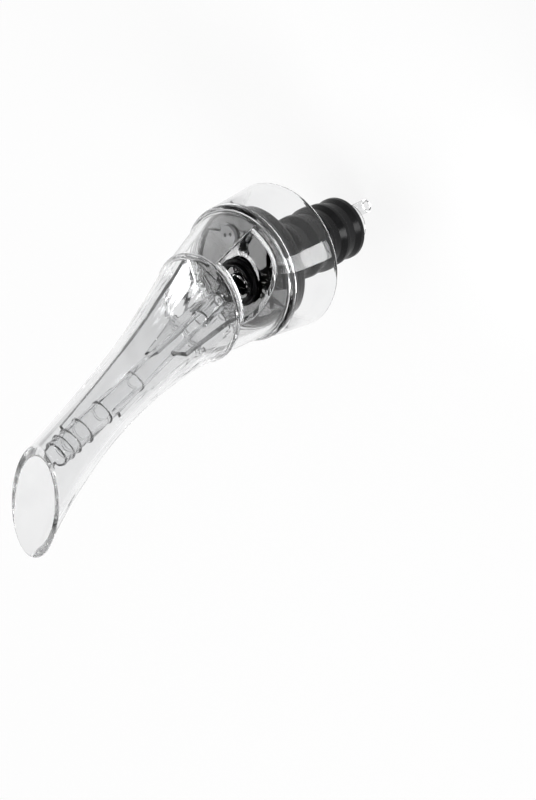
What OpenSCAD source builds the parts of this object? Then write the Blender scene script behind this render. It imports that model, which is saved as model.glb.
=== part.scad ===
// Wine aerator pourer: a clear pouring spout with an open air chamber, on a ribbed rubber stopper.
// Millimetres, +Z up along the stopper's axis. The origin is the middle of the flange's underside.
// The spout pours towards -X, and the XZ plane halves the part.
// "Out" is the distance from the stopper's axis towards the pouring side, so x is minus out.

/* [Stopper] */
// Bore that the stopper seals
sealed_bore_d = 18.5; // [17.5:0.1:19.5]
// Extra radius of the sealing land over the bore
plug_squeeze = 0.15; // [0.05:0.05:0.4]
// Length of the plug below the flange
plug_len = 36; // [28:1:44]
// Length of the straight sealing land under the flange
plug_land = 5; // [3:0.5:8]
// Depth of the grooves between the ribs
rib_depth = 1.3; // [0.8:0.1:1.8]
// Loss of radius from one rib to the next
rib_taper = 0.12; // [0:0.02:0.2]
// Number of ribs under the land
rib_count = 5; // [3:1:6]
// Reach of the flange past the plate that lies on it
flange_lip = 0.4; // [0:0.1:0.6]
// Thickness of the flange
flange_t = 5.2; // [4:0.2:7]
// Rounding of the flange's edges
flange_round = 1.2; // [0.4:0.2:1.6]

/* [Stem] */
// Outside diameter of the spigot in the stopper
spigot_d = 12; // [11.4:0.2:13]
// Wall of the spigot
spigot_wall = 1.3; // [1:0.1:1.5]
// Length of the spigot below the stopper's end
spigot_tip = 4; // [2:0.5:8]
// Diameter of the plate that closes the air chamber
plate_d = 33.2; // [32.6:0.2:33.4]
// Thickness of the plate
plate_t = 2.2; // [2:0.1:3]
// Thickness of the sealing ring's round section
seal_t = 1.4; // [1:0.1:1.6]
// Diameter of the pouring port through the plate
port_d = 4.6; // [3.8:0.2:5]

/* [Vent] */
// Distance of the vent cap's middle from the plate's edge, at the back
vent_inset = 6; // [5:0.1:7]
// Diameter of the vent cap
vent_cap_d = 5; // [4:0.2:6]
// Height of the vent cap above the plate
vent_cap_rise = 1; // [0.4:0.2:2]
// Diameter of each air hole in the cap
vent_hole_d = 1; // [0.6:0.1:1.2]
// Outside diameter of the vent tube
vent_tube_d = 3.8; // [3.2:0.1:4]
// Bore of the vent tube
vent_bore = 2.4; // [1.8:0.1:2.6]
// Length of the vent tube below the spigot
vent_tip = 8; // [4:1:14]

/* [Skirt] */
// Reach of the skirt's open rim past the shoulder
skirt_flare = 1.6; // [0.6:0.1:3]
// Reach of the skirt below the flange
skirt_drop = 9.5; // [6:0.5:14]
// Wall of the skirt
skirt_wall = 1.6; // [1.2:0.1:1.6]

/* [Air chamber] */
// Wall of the shoulder round the plate
shoulder_wall = 2; // [1.8:0.1:2.6]
// Thickness of the shoulder
shoulder_t = 2.4; // [2.2:0.1:3.2]
// Rounding of the shoulder's top edge
shoulder_round = 0.9; // [0.3:0.1:1.2]
// Width of the step from the shoulder in to the chamber's wall
shoulder_step = 1; // [0.8:0.1:1.4]
// Wall of the chamber
chamber_wall = 1.8; // [1.6:0.1:2]
// Height of the chamber from the shoulder to the spout ring
chamber_h = 16.6; // [14:0.2:20]
// Angle of a window's upper edge from the back of the chamber
window_from = 40; // [32:1:50]
// Angle of a window's lower edge from the back of the chamber
window_to = 113; // [100:1:125]
// Wall left between the shoulder and the windows
window_sill = 1.9; // [1:0.1:3]
// Ring left between the windows and the spout
window_lintel = 1.3; // [1:0.1:2.5]
// Radius of the sweep from a window's sill up to its lower edge
window_round = 17.2; // [14:0.2:20]
// Height of that sweep above the sill
window_sweep_h = 10; // [6:0.5:12]

/* [Spout] */
// Diameter of the spout ring
ring_d = 28.6; // [27.6:0.2:30]
// Distance of the spout ring's middle from the axis
ring_out = 3.4; // [2.6:0.1:4.2]
// Wall of the spout
spout_wall = 1.6; // [1.3:0.1:1.8]
// Distance of the mouth's middle from the spout ring's, towards the pouring side
mouth_out = 28.3; // [27:0.1:30]
// Height of the mouth's middle above the spout ring
mouth_rise = 70.7; // [68:0.1:74]
// Diameter of the mouth across the spout
mouth_d = 17.4; // [17:0.2:20]
// Tilt of the mouth's plane, back edge low
mouth_tilt = 19.5; // [12:0.5:24]
// Pull of the waist on the spout's diameter, near the ring
waist_low_d = 14; // [13.4:0.2:18]
// Pull of the waist on the spout's diameter, near the mouth
waist_high_d = 13.4; // [13:0.2:16]
// Thickness of the bead round the spout's base
bead_t = 1.8; // [1.4:0.1:2.2]

/* [Flow tube] */
// Distance of the tube's inlet from the axis
inlet_out = 5; // [4.6:0.1:5.4]
// Depth of the tube's inlet below the spout ring
inlet_drop = 6.3; // [5:0.1:7]
// Tilt of the tube from the stopper's axis
tube_tilt = 15.2; // [14.8:0.1:15.6]
// Length of the tube
tube_len = 69.5; // [66:0.5:71]
// Outside diameter of the tube at its inlet
tube_inlet_d = 4.8; // [4.4:0.1:5.4]
// Outside diameter of the tube at its outlet
tube_outlet_d = 6.8; // [6:0.1:7]
// Wall of the tube
tube_wall = 0.8; // [0.6:0.1:1]
// Number of ring ridges on the tube
ridge_count = 5; // [3:1:6]
// Place of the first ridge along the tube
ridge_first = 37; // [30:1:42]
// Share of the stretch past each ridge that is left past the next one
ridge_ratio = 0.58; // [0.5:0.02:0.65]
// Height of a ridge above the tube
ridge_h = 0.35; // [0.2:0.05:0.4]

/* [Guide vanes] */
// Thickness of a vane
vane_t = 1.2; // [0.8:0.1:1.8]
// Reach of the vanes from the tube's axis at the inlet
vane_reach = 8.6; // [7:0.2:8.8]
// Length of the back vane along the tube
vane_back_len = 64; // [50:1:65]
// Length of the front vane along the tube
vane_front_len = 46; // [30:1:56]
// Length of the side vanes along the tube
vane_side_len = 24; // [16:1:34]
// Length of the hub that joins the vanes
hub_len = 8; // [5:0.5:12]
// Wall of the hub
hub_wall = 0.9; // [0.7:0.1:1.2]

/* [Nozzle] */
// Air gap between the nozzle and the tube's inlet
nozzle_gap = 1.7; // [1:0.1:3]
// Diameter of the nozzle's foot
nozzle_foot_d = 9.2; // [8.6:0.2:10]
// Height of the nozzle's foot
nozzle_foot_h = 1.5; // [1:0.1:2.5]
// Outside diameter of the nozzle's end
nozzle_end_d = 5; // [4.4:0.1:5.6]
// Bore of the nozzle's end
nozzle_bore = 3; // [2.4:0.1:3.4]
// Width of the gasket round the nozzle's foot
gasket_w = 2; // [1.4:0.1:2.6]
// Height of the gasket
gasket_h = 2.6; // [1.6:0.1:3.4]

/* [Fits] */
// Radial clearance of the spigot in the stopper and of the seal in the chamber
running_fit = 0.05; // [0.02:0.01:0.08]
// Clearance between glued or pressed pieces
seat_fit = 0.05; // [0.02:0.01:0.1]
// Clearance between pieces that pass without touching
free_gap = 0.3; // [0.2:0.05:0.4]

/* [Hidden] */
$fn = 96;

// Number of flats round the lofted shells, and of rings along the spout
sides = 48;
rings = 24;
// Overlap of cutting tools past the faces that they cut
past = 1;
// Depth and length of lead-in chamfers
lead = 0.6;
// Flats of small round sections, and steps of a window's sweep
small_fn = 32;
sweep_steps = 10;
// Crest of a rib as a share of its pitch, and place of the air holes as a share of the cap
crest_share = 0.3;
hole_share = 0.2;
// Most of the shoulder's step that its rounding may take
round_share = 0.9;

// Heights up the stopper's axis
plate_z = flange_t + plate_t;
skirt_z = flange_t + free_gap;
shoulder_z = skirt_z + shoulder_t;
ring_z = shoulder_z + chamber_h;
inlet_z = ring_z - inlet_drop;

// Radii round the stopper's axis
land_r = sealed_bore_d / 2 + plug_squeeze;
spigot_r = spigot_d / 2;
plate_r = plate_d / 2;
flange_r = plate_r + flange_lip;
chamber_bore_r = plate_r + free_gap;
shoulder_r = chamber_bore_r + shoulder_wall;
shoulder_edge = min(shoulder_round, shoulder_step * round_share);
skirt_rim_r = shoulder_r + skirt_flare;
chamber_r = shoulder_r - shoulder_step;
vent_back = plate_r - vent_inset;
ring_r = ring_d / 2;
seal_r = seal_t / 2;
seal_ring_r = chamber_bore_r - running_fit - seal_r;

// Place of the nozzle's foot on the plate, on the flow tube's own axis
foot_out = inlet_out - (inlet_z - plate_z) * tan(tube_tilt);
nozzle_len = (inlet_z - plate_z) / cos(tube_tilt) - nozzle_gap;

// Vent tube beside the spigot's wall, and the channel that feeds it
vent_tube_out = -(spigot_r - spigot_wall - vent_tube_d / 2 - 2 * seat_fit);
cap_seat_depth = plate_t / 2;
channel_depth = plate_t / 2;

// Middle line of the spout as [out, z] control points
bend_start = [0.31, 0.335];
bend_end = [0.555, 0.364];
ring_c = [ring_out, ring_z];
mouth_c = ring_c + [mouth_out, mouth_rise];
spout_c1 = ring_c + [bend_start.x * mouth_out, bend_start.y * mouth_rise];
spout_c2 = mouth_c - [bend_end.x * mouth_out, bend_end.y * mouth_rise];
// Shares of the spout's length over which its sections turn out of the ring and into the mouth
turn_out = 0.2;
turn_in = 0.5;

function bezier(a, b, c, d, u) =
    a * pow(1 - u, 3) + 3 * b * u * pow(1 - u, 2) + 3 * c * u * u * (1 - u) + d * pow(u, 3);
function bezier_slope(a, b, c, d, u) =
    3 * (b - a) * pow(1 - u, 2) + 6 * (c - b) * u * (1 - u) + 3 * (d - c) * u * u;
function eased(x) = let (k = min(max(x, 0), 1)) k * k * (3 - 2 * k);

// Middle, radius, lean and section tilt of the spout at a share u of its length
function spout_c(u) = bezier(ring_c, spout_c1, spout_c2, mouth_c, u);
function spout_r(u) = bezier(ring_d, waist_low_d, waist_high_d, mouth_d, u) / 2;
function spout_lean(u) =
    let (s = bezier_slope(ring_c, spout_c1, spout_c2, mouth_c, u)) atan2(s.x, s.y);
function section_tilt(u) =
    let (into = eased((u - turn_in) / (1 - turn_in)))
    eased(u / turn_out) * spout_lean(u) * (1 - into) - into * mouth_tilt;

// One section of the spout, drawn in by inset from the outer surface
function spout_section(u, inset) =
    let (c = spout_c(u), r = spout_r(u) - inset, t = section_tilt(u),
         half = r / cos(spout_lean(u) - t))
    [for (j = [0 : sides - 1]) let (a = 360 * j / sides)
        [-c.x - half * cos(t) * cos(a), r * sin(a), c.y - half * sin(t) * cos(a)]];
function spout_sections(inset) = [for (i = [0 : rings]) spout_section(i / rings, inset)];

// Radius and shift of the chamber at a height
function chamber_share(z) = (z - shoulder_z) / chamber_h;
function chamber_r_at(z) = chamber_r + (ring_r - chamber_r) * chamber_share(z);
function chamber_out_at(z) = ring_out * chamber_share(z);
function chamber_section(z, inset) =
    [for (j = [0 : sides - 1]) let (a = 360 * j / sides, r = chamber_r_at(z) - inset)
        [-chamber_out_at(z) - r * cos(a), r * sin(a), z]];
// x of a window's edge, at an angle from the chamber's back
function window_x(angle, z) = -chamber_out_at(z) + chamber_r_at(z) * cos(angle);

// Place of a ridge along the flow tube, each closer to the last
function ridge_at(k) = tube_len + lead - (tube_len + lead - ridge_first) * pow(ridge_ratio, k);
function tube_r_at(s) = (tube_inlet_d + (tube_outlet_d - tube_inlet_d) * s / tube_len) / 2;

// Faces of a tube of rings with n points each: sides, turned inside out when inner is true
function loft_sides(count, n, first, inner) =
    [for (i = [0 : count - 2], j = [0 : n - 1], half = [0, 1])
        let (a = first + i * n + j, b = first + i * n + (j + 1) % n,
             face = half == 0 ? [a, b, b + n] : [a, b + n, a + n])
        inner ? [face[0], face[2], face[1]] : face];

// A closed solid through a list of rings
module solid_loft(outer) {
    n = len(outer[0]);
    last = (len(outer) - 1) * n;
    polyhedron([for (ring = outer, p = ring) p],
        concat(loft_sides(len(outer), n, 0, false),
            [[for (j = [n - 1 : -1 : 0]) j], [for (j = [0 : n - 1]) last + j]]));
}

// A wall between two lists of rings, open at both ends
module shell_loft(outer, inner) {
    n = len(outer[0]);
    all = len(outer) * n;
    top = all - n;
    polyhedron([for (ring = concat(outer, inner), p = ring) p],
        concat(loft_sides(len(outer), n, 0, false), loft_sides(len(inner), n, all, true),
            [for (j = [0 : n - 1], half = [0, 1]) let (k = (j + 1) % n)
                half == 0 ? [k, j, all + j] : [k, all + j, all + k]],
            [for (j = [top : top + n - 1], half = [0, 1]) let (k = top + (j + 1 - top) % n)
                half == 0 ? [j, k, all + k] : [j, all + k, all + j]]));
}

// Places children on the flow tube's axis, z along the tube and +x to its back
module along_tube() {
    translate([-inlet_out, 0, inlet_z]) rotate([0, -tube_tilt, 0]) children();
}

// A ring of round section about the z axis
module round_ring(ring, section, z) {
    rotate_extrude() translate([ring, z]) circle(r = section, $fn = small_fn);
}

// A drum of radius r from z0 to z1 with rounded edges
module rounded_drum(r, z0, z1, rounding) {
    translate([0, 0, z0 + rounding]) cylinder(r = r, h = z1 - z0 - 2 * rounding);
    translate([0, 0, z0]) cylinder(r = r - rounding, h = z1 - z0);
    for (z = [z0 + rounding, z1 - rounding]) round_ring(r - rounding, rounding, z);
}

// Ribbed plug and flange, bored for the spigot
module stopper() {
    rib_pitch = (plug_len - plug_land) / rib_count;
    crest = rib_pitch * crest_share;
    root = land_r - rib_depth;
    bore_h = plug_len + flange_t + 2 * past;
    color([0.06, 0.06, 0.065]) difference() {
        union() {
            rounded_drum(flange_r, 0, flange_t, flange_round);
            translate([0, 0, -plug_land]) cylinder(r = land_r, h = plug_land + flange_round);
            rotate_extrude() polygon(concat([[0, 0]],
                [for (k = [0 : rib_count - 1], part = [0 : 3])
                    let (r = land_r - (k + 1) * rib_taper, z = -plug_land - k * rib_pitch)
                    part == 0 ? [root, z] :
                    part == 1 ? [root, z - rib_pitch + 2 * crest] :
                    part == 2 ? [r, z - rib_pitch + crest] : [r, z - rib_pitch + lead]],
                [[land_r - rib_count * rib_taper - lead, -plug_len], [0, -plug_len]]));
        }
        translate([0, 0, -plug_len - past]) cylinder(r = spigot_r + running_fit, h = bore_h);
    }
}

// Plate that closes the chamber, with the spigot that the stopper grips
module stem() {
    spigot_end = -plug_len - spigot_tip;
    spigot_h = flange_t - spigot_end;
    color([0.86, 0.89, 0.9]) difference() {
        union() {
            translate([0, 0, flange_t]) cylinder(r = plate_r, h = plate_t);
            translate([0, 0, spigot_end + lead]) cylinder(r = spigot_r, h = spigot_h - lead);
            translate([0, 0, spigot_end]) cylinder(r1 = spigot_r - lead, r2 = spigot_r, h = lead);
        }
        translate([0, 0, spigot_end - past]) cylinder(r = spigot_r - spigot_wall, h = spigot_h + past);
        round_ring(seal_ring_r, seal_r + seat_fit, flange_t + plate_t / 2);
        translate([-foot_out, 0, flange_t - past]) cylinder(d = port_d, h = plate_t + 2 * past);
        translate([vent_back, 0, plate_z - cap_seat_depth])
            cylinder(d = vent_cap_d + 2 * seat_fit, h = plate_t);
        translate([vent_back, 0, flange_t - past]) cylinder(d = vent_bore, h = plate_t);
        translate([-vent_tube_out, -vent_bore / 2, flange_t - past])
            cube([vent_back + vent_tube_out, vent_bore, channel_depth + past]);
        translate([-vent_tube_out, 0, flange_t - past]) cylinder(d = vent_bore, h = channel_depth + past);
    }
}

// Sealing ring in the plate's rim
module chamber_seal() {
    color([0.06, 0.06, 0.065]) round_ring(seal_ring_r, seal_r, flange_t + plate_t / 2);
}

// Air tube down the spigot, cut square under the plate
module vent_tube() {
    vent_end = -plug_len - spigot_tip - vent_tip;
    color([0.86, 0.89, 0.9]) translate([-vent_tube_out, 0, vent_end]) difference() {
        cylinder(d = vent_tube_d, h = flange_t - vent_end);
        translate([0, 0, -past]) cylinder(d = vent_bore, h = flange_t - vent_end + 2 * past);
    }
}

// Round cap over the vent with two air holes
module vent_cap() {
    hole_out = vent_cap_d * hole_share;
    cap_h = cap_seat_depth + vent_cap_rise;
    color([0.86, 0.89, 0.9]) translate([vent_back, 0, plate_z - cap_seat_depth]) difference() {
        cylinder(d = vent_cap_d, h = cap_h);
        for (side = [-1, 1]) translate([0, side * hole_out, -past])
            cylinder(d = vent_hole_d, h = cap_h + 2 * past, $fn = small_fn);
        translate([0, 0, -past]) cylinder(d = vent_bore + vent_hole_d, h = past + cap_seat_depth / 2);
    }
}

// Nozzle that throws the stream across the chamber into the flow tube
module wine_nozzle() {
    back = (inlet_z - plate_z) / cos(tube_tilt);
    color([0.86, 0.89, 0.9]) difference() {
        union() {
            translate([-foot_out, 0, plate_z]) cylinder(d = nozzle_foot_d, h = nozzle_foot_h);
            along_tube() translate([0, 0, nozzle_foot_h - back])
                cylinder(d1 = port_d + 2 * tube_wall, d2 = nozzle_end_d, h = nozzle_len - nozzle_foot_h);
        }
        along_tube() translate([0, 0, -back]) cylinder(d1 = port_d, d2 = nozzle_bore, h = nozzle_len);
        along_tube() translate([0, 0, -nozzle_gap - past]) cylinder(d = nozzle_bore, h = 2 * past);
        translate([-foot_out, 0, plate_z - past]) cylinder(d = port_d, h = past + lead);
    }
}

// Stepped gasket that seals the nozzle's foot on the plate
module nozzle_gasket() {
    inner = nozzle_foot_d / 2 + seat_fit;
    color([0.06, 0.06, 0.065]) translate([-foot_out, 0, plate_z]) rotate_extrude()
        polygon([[inner, 0], [inner + gasket_w, 0], [inner + gasket_w, gasket_h / 2],
                 [inner + gasket_w / 2, gasket_h / 2], [inner + gasket_w / 2, gasket_h], [inner, gasket_h]]);
}

// Clear flared skirt round the stopper's flange, rounded at its rim
module neck_skirt() {
    rim = skirt_wall / 2;
    rim_z = rim - skirt_drop;
    inner_r = shoulder_r - skirt_wall + free_gap;
    color([0.9, 0.92, 0.93]) union() {
        rotate_extrude() polygon([[skirt_rim_r, rim_z], [shoulder_r, skirt_z],
                                  [inner_r, skirt_z], [skirt_rim_r - skirt_wall, rim_z]]);
        round_ring(skirt_rim_r - rim, rim, rim_z);
    }
}

// Outline of the windows seen from the side: straight at the back, swept up from the sill at the front
function window_outline() =
    let (sill_z = shoulder_z + window_sill, lintel_z = ring_z - window_lintel,
         front_x = window_x(window_to, sill_z + window_sweep_h),
         turn = acos(1 - window_sweep_h / window_round))
    concat([[window_x(window_from, sill_z), sill_z], [window_x(window_from, lintel_z), lintel_z],
            [window_x(window_to, lintel_z), lintel_z]],
        [for (k = [sweep_steps : -1 : 0]) let (a = turn * k / sweep_steps)
            [front_x + window_round * (sin(turn) - sin(a)), sill_z + window_round * (1 - cos(a))]]);

// Shoulder and leaning chamber wall with a window on each side
module air_chamber() {
    wall_z = (plate_z + shoulder_z) / 2;
    color([0.9, 0.92, 0.93]) difference() {
        union() {
            translate([0, 0, skirt_z]) cylinder(r = shoulder_r, h = shoulder_t - shoulder_edge);
            translate([0, 0, skirt_z]) cylinder(r = shoulder_r - shoulder_edge, h = shoulder_t);
            round_ring(shoulder_r - shoulder_edge, shoulder_edge, shoulder_z - shoulder_edge);
            solid_loft([chamber_section(wall_z, 0), chamber_section(ring_z, 0)]);
        }
        translate([0, 0, skirt_z - past]) cylinder(r = chamber_bore_r, h = plate_z - skirt_z + past);
        solid_loft([chamber_section(plate_z - past, chamber_wall),
                    chamber_section(ring_z + past, chamber_wall)]);
        rotate([90, 0, 0]) linear_extrude(height = 4 * shoulder_r, center = true)
            polygon(window_outline());
    }
}

// Bent trumpet spout with a slanted mouth and a bead round its base
module spout_shell() {
    bead = bead_t / 2;
    color([0.9, 0.92, 0.93]) union() {
        shell_loft(spout_sections(0), spout_sections(spout_wall));
        translate([-ring_out, 0, ring_z]) round_ring(ring_r - bead / 2, bead, bead);
    }
}

// Widening tube that carries the stream to the mouth, ringed closer and closer
module flow_tube() {
    color([0.9, 0.92, 0.93]) along_tube() difference() {
        union() {
            cylinder(d1 = tube_inlet_d, d2 = tube_outlet_d, h = tube_len);
            for (k = [0 : ridge_count - 1]) round_ring(tube_r_at(ridge_at(k)), ridge_h, ridge_at(k));
        }
        translate([0, 0, -lead])
            cylinder(r1 = tube_r_at(-lead) - tube_wall, r2 = tube_r_at(tube_len + lead) - tube_wall,
                     h = tube_len + 2 * lead);
    }
}

// Four vanes on a hub that hold the flow tube inside the spout
module guide_vanes() {
    reach = ring_d;
    foot_h = inlet_drop / cos(tube_tilt) + vane_reach * tan(tube_tilt) + lead;
    color([0.9, 0.92, 0.93]) difference() {
        union() {
            intersection() {
                along_tube() union() {
                    translate([0, -vane_t / 2, 0]) cube([reach, vane_t, vane_back_len]);
                    translate([-reach, -vane_t / 2, 0]) cube([reach, vane_t, vane_front_len]);
                    translate([-vane_t / 2, -reach, 0]) cube([vane_t, 2 * reach, vane_side_len]);
                }
                union() {
                    solid_loft(spout_sections(spout_wall + free_gap));
                    along_tube() cylinder(r = vane_reach, h = foot_h);
                }
            }
            along_tube() cylinder(r = tube_r_at(hub_len) + seat_fit + hub_wall, h = hub_len);
        }
        along_tube() translate([0, 0, -past]) cylinder(r1 = tube_r_at(-past) + seat_fit,
            r2 = tube_r_at(tube_len + past) + seat_fit, h = tube_len + 2 * past);
        for (k = [0 : ridge_count - 1])
            along_tube() round_ring(tube_r_at(ridge_at(k)), ridge_h + seat_fit, ridge_at(k));
    }
}

stopper();
stem();
chamber_seal();
vent_tube();
vent_cap();
wine_nozzle();
nozzle_gasket();
neck_skirt();
air_chamber();
spout_shell();
flow_tube();
guide_vanes();
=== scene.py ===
"""Looks of a clear wine aerator pourer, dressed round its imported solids.

Everything is in metres in the part's own frame: +Z runs up the stopper's axis and the spout pours
towards -X. "Out" is the distance from that axis towards the pouring side, so x is minus out.
"""
import logging
import math
from dataclasses import dataclass, field
from enum import Enum
from typing import Callable, Dict, List, Optional, Sequence, Tuple, Union

import bmesh
import bpy
from mathutils import Matrix, Vector


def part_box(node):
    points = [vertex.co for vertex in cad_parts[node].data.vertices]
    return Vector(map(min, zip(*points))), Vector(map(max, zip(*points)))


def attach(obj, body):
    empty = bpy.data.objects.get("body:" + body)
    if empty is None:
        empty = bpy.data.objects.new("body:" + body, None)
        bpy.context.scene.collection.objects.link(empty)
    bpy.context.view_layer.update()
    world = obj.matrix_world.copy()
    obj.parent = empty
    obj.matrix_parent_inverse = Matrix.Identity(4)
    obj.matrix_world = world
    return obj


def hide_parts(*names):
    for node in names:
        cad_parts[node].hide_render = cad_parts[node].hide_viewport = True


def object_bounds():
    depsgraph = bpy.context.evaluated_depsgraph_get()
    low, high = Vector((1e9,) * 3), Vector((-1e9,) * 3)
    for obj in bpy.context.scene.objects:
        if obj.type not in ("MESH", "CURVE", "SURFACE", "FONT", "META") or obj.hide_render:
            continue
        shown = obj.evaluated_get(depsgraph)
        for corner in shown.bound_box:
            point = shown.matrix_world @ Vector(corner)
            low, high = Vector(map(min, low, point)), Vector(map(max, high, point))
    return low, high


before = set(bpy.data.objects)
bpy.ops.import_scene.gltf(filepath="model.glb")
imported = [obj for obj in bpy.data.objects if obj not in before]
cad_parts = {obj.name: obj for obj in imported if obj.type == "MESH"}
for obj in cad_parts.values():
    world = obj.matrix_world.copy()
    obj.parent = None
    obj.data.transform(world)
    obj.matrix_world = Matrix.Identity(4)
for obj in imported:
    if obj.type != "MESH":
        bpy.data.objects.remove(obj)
CAD_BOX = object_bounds()

MM = 0.001
FULL_TURN = 2 * math.pi
LOG = logging.getLogger("pourer")

# Places of a Mix node's colour sockets, which share their names with its other sockets.
MIX_FIRST, MIX_SECOND, MIX_RESULT = 6, 7, 2
# The profile of a bevel that is an arc.
ROUND_PROFILE = 0.5

Colour = Tuple[float, float, float]
Flat = Tuple[float, float]
Corner = Tuple[float, float, float]
Spot = Tuple[float, float, float]


class Body(Enum):
    """The bodies that pieces ride on."""

    STOPPER = "stopper_base"
    STEM = "stem_unit"
    HOUSING = "clear_housing"


class Slot(Enum):
    """The record's material slots."""

    ACRYLIC = "clear_acrylic"
    SILICONE = "black_silicone"


class Value:
    """A shader socket that takes part in Python arithmetic."""

    def __init__(self, graph: "Graph", socket: bpy.types.NodeSocket) -> None:
        """Keeps the socket and the graph that it belongs to."""
        self.graph = graph
        self.socket = socket

    def _math(self, operation: str, other: "Input") -> "Value":
        """Adds one Math node on this value and another."""
        return self.graph.add("ShaderNodeMath", {"operation": operation}, {0: self, 1: other})

    def __add__(self, other: "Input") -> "Value":
        """The sum of this value and another, in either order."""
        return self._math("ADD", other)

    def __mul__(self, other: "Input") -> "Value":
        """The product of this value and another, in either order."""
        return self._math("MULTIPLY", other)

    def __or__(self, other: "Input") -> "Value":
        """The larger of two masks, in either order."""
        return self._math("MAXIMUM", other)

    __radd__ = __add__
    __rmul__ = __mul__
    __ror__ = __or__

    def spread(self, low: float, high: float) -> "Value":
        """Nought below low, one above high, and smooth between them."""
        settings = {"interpolation_type": "SMOOTHSTEP"}
        return self.graph.add("ShaderNodeMapRange", settings, {0: self, 1: low, 2: high})


Input = Union[Value, float, Sequence[float]]


class Graph:
    """The node tree of one material or of the world."""

    def __init__(self, tree: bpy.types.NodeTree) -> None:
        """Starts from an empty tree."""
        self.tree = tree
        self.tree.nodes.clear()

    def add(self, kind: str, settings: Optional[Dict] = None, sockets: Optional[Dict] = None,
            out: Union[int, str] = 0) -> Optional[Value]:
        """Adds a node.

        Args:
            kind: the node's type.
            settings: the node's own properties, which are set first.
            sockets: values or links for its inputs, by name or by place.
            out: the output that is returned, by name or by place.

        Returns:
            The chosen output, or None for a node without outputs.
        """
        node = self.tree.nodes.new(kind)
        for name, value in (settings or {}).items():
            setattr(node, name, value)
        for name, value in (sockets or {}).items():
            if isinstance(value, Value):
                self.tree.links.new(value.socket, node.inputs[name])
            else:
                node.inputs[name].default_value = value
        return Value(self, node.outputs[out]) if node.outputs else None

    def noise(self, size: float, detail: float = 2.0, distortion: float = 0.0, stretch: float = 1.0,
              lean: float = 0.0) -> Value:
        """Noise in the object's own space.

        Args:
            size: the width of its blots, in metres.
            detail: the number of finer layers.
            distortion: how far the blots are pulled about.
            stretch: how many times longer than wide the blots are.
            lean: the angle in radians between their length and the z axis, towards the pouring side.

        Returns:
            A value about one half.
        """
        place = self.add("ShaderNodeTexCoord", out="Object")
        upright = self.add("ShaderNodeVectorRotate", {"rotation_type": "Y_AXIS"},
                           {"Vector": place, "Angle": lean})
        drawn = self.add("ShaderNodeVectorMath", {"operation": "MULTIPLY"},
                         {0: upright, 1: (1, 1, 1 / stretch)})
        sockets = {"Vector": drawn, "Scale": 1 / size, "Detail": detail, "Distortion": distortion}
        return self.add("ShaderNodeTexNoise", sockets=sockets)

    def mix(self, share: Input, first: Union[Value, Colour], second: Union[Value, Colour]) -> Value:
        """A colour between two, by a share."""
        ends = [tone if isinstance(tone, Value) else (*tone, 1.0) for tone in (first, second)]
        return self.add("ShaderNodeMix", {"data_type": "RGBA"},
                        {0: share, MIX_FIRST: ends[0], MIX_SECOND: ends[1]}, out=MIX_RESULT)

    def bump(self, height: Input, depth: float, strength: float) -> Value:
        """A normal that is tilted by a height field of that depth in metres."""
        sockets = {"Height": height, "Distance": depth, "Strength": strength}
        return self.add("ShaderNodeBump", sockets=sockets)


def blank(name: str) -> Tuple[bpy.types.Material, Graph]:
    """Starts a material.

    Args:
        name: the material's name.

    Returns:
        The material and its empty graph.
    """
    made = bpy.data.materials.new(name)
    made.use_nodes = True
    return made, Graph(made.node_tree)


@dataclass(frozen=True)
class ClearAcrylic:
    """Moulded acrylic: clear, with soft flow waves, a faint haze and a grey depth along its edges.

    The murk is how dense the depths' colour lies in the plastic, per metre of light's way through it.
    """

    name: str = "clear_acrylic"
    clear: Colour = (0.96, 0.962, 0.965)
    cloudy: Colour = (0.93, 0.933, 0.937)
    depths: Colour = (0.5, 0.5, 0.5)
    murk: float = 16.0
    ior: float = 1.49
    polish: float = 0.0
    haze: float = 0.03
    cloud_size: float = 14 * MM
    cloud_span: Flat = (0.45, 0.75)
    haze_size: float = 3 * MM
    haze_detail: float = 3.0
    haze_span: Flat = (0.5, 0.8)
    wave_size: float = 6 * MM
    wave_detail: float = 0.5
    wave_pull: float = 0.6
    wave_stretch: float = 1.0
    wave_lean: float = 0.0
    wave_depth: float = 0.05 * MM
    wave_strength: float = 0.35
    transmission: float = 1.0

    def material(self) -> bpy.types.Material:
        """Makes the material.

        Returns:
            A new Blender material.
        """
        made, graph = blank(self.name)
        cloud = graph.noise(self.cloud_size).spread(*self.cloud_span)
        haze = graph.noise(self.haze_size, self.haze_detail).spread(*self.haze_span)
        waves = graph.noise(self.wave_size, self.wave_detail, self.wave_pull, self.wave_stretch,
                            self.wave_lean)
        shader = graph.add("ShaderNodeBsdfPrincipled", sockets={
            "Base Color": graph.mix(cloud, self.clear, self.cloudy),
            "Roughness": self.polish + haze * self.haze,
            "Normal": graph.bump(waves, self.wave_depth, self.wave_strength),
            "IOR": self.ior,
            "Transmission Weight": self.transmission,
        })
        inside = graph.add("ShaderNodeVolumeAbsorption", sockets={
            "Color": (*self.depths, 1.0), "Density": self.murk,
        })
        graph.add("ShaderNodeOutputMaterial", sockets={"Surface": shader, "Volume": inside})
        return made


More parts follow.
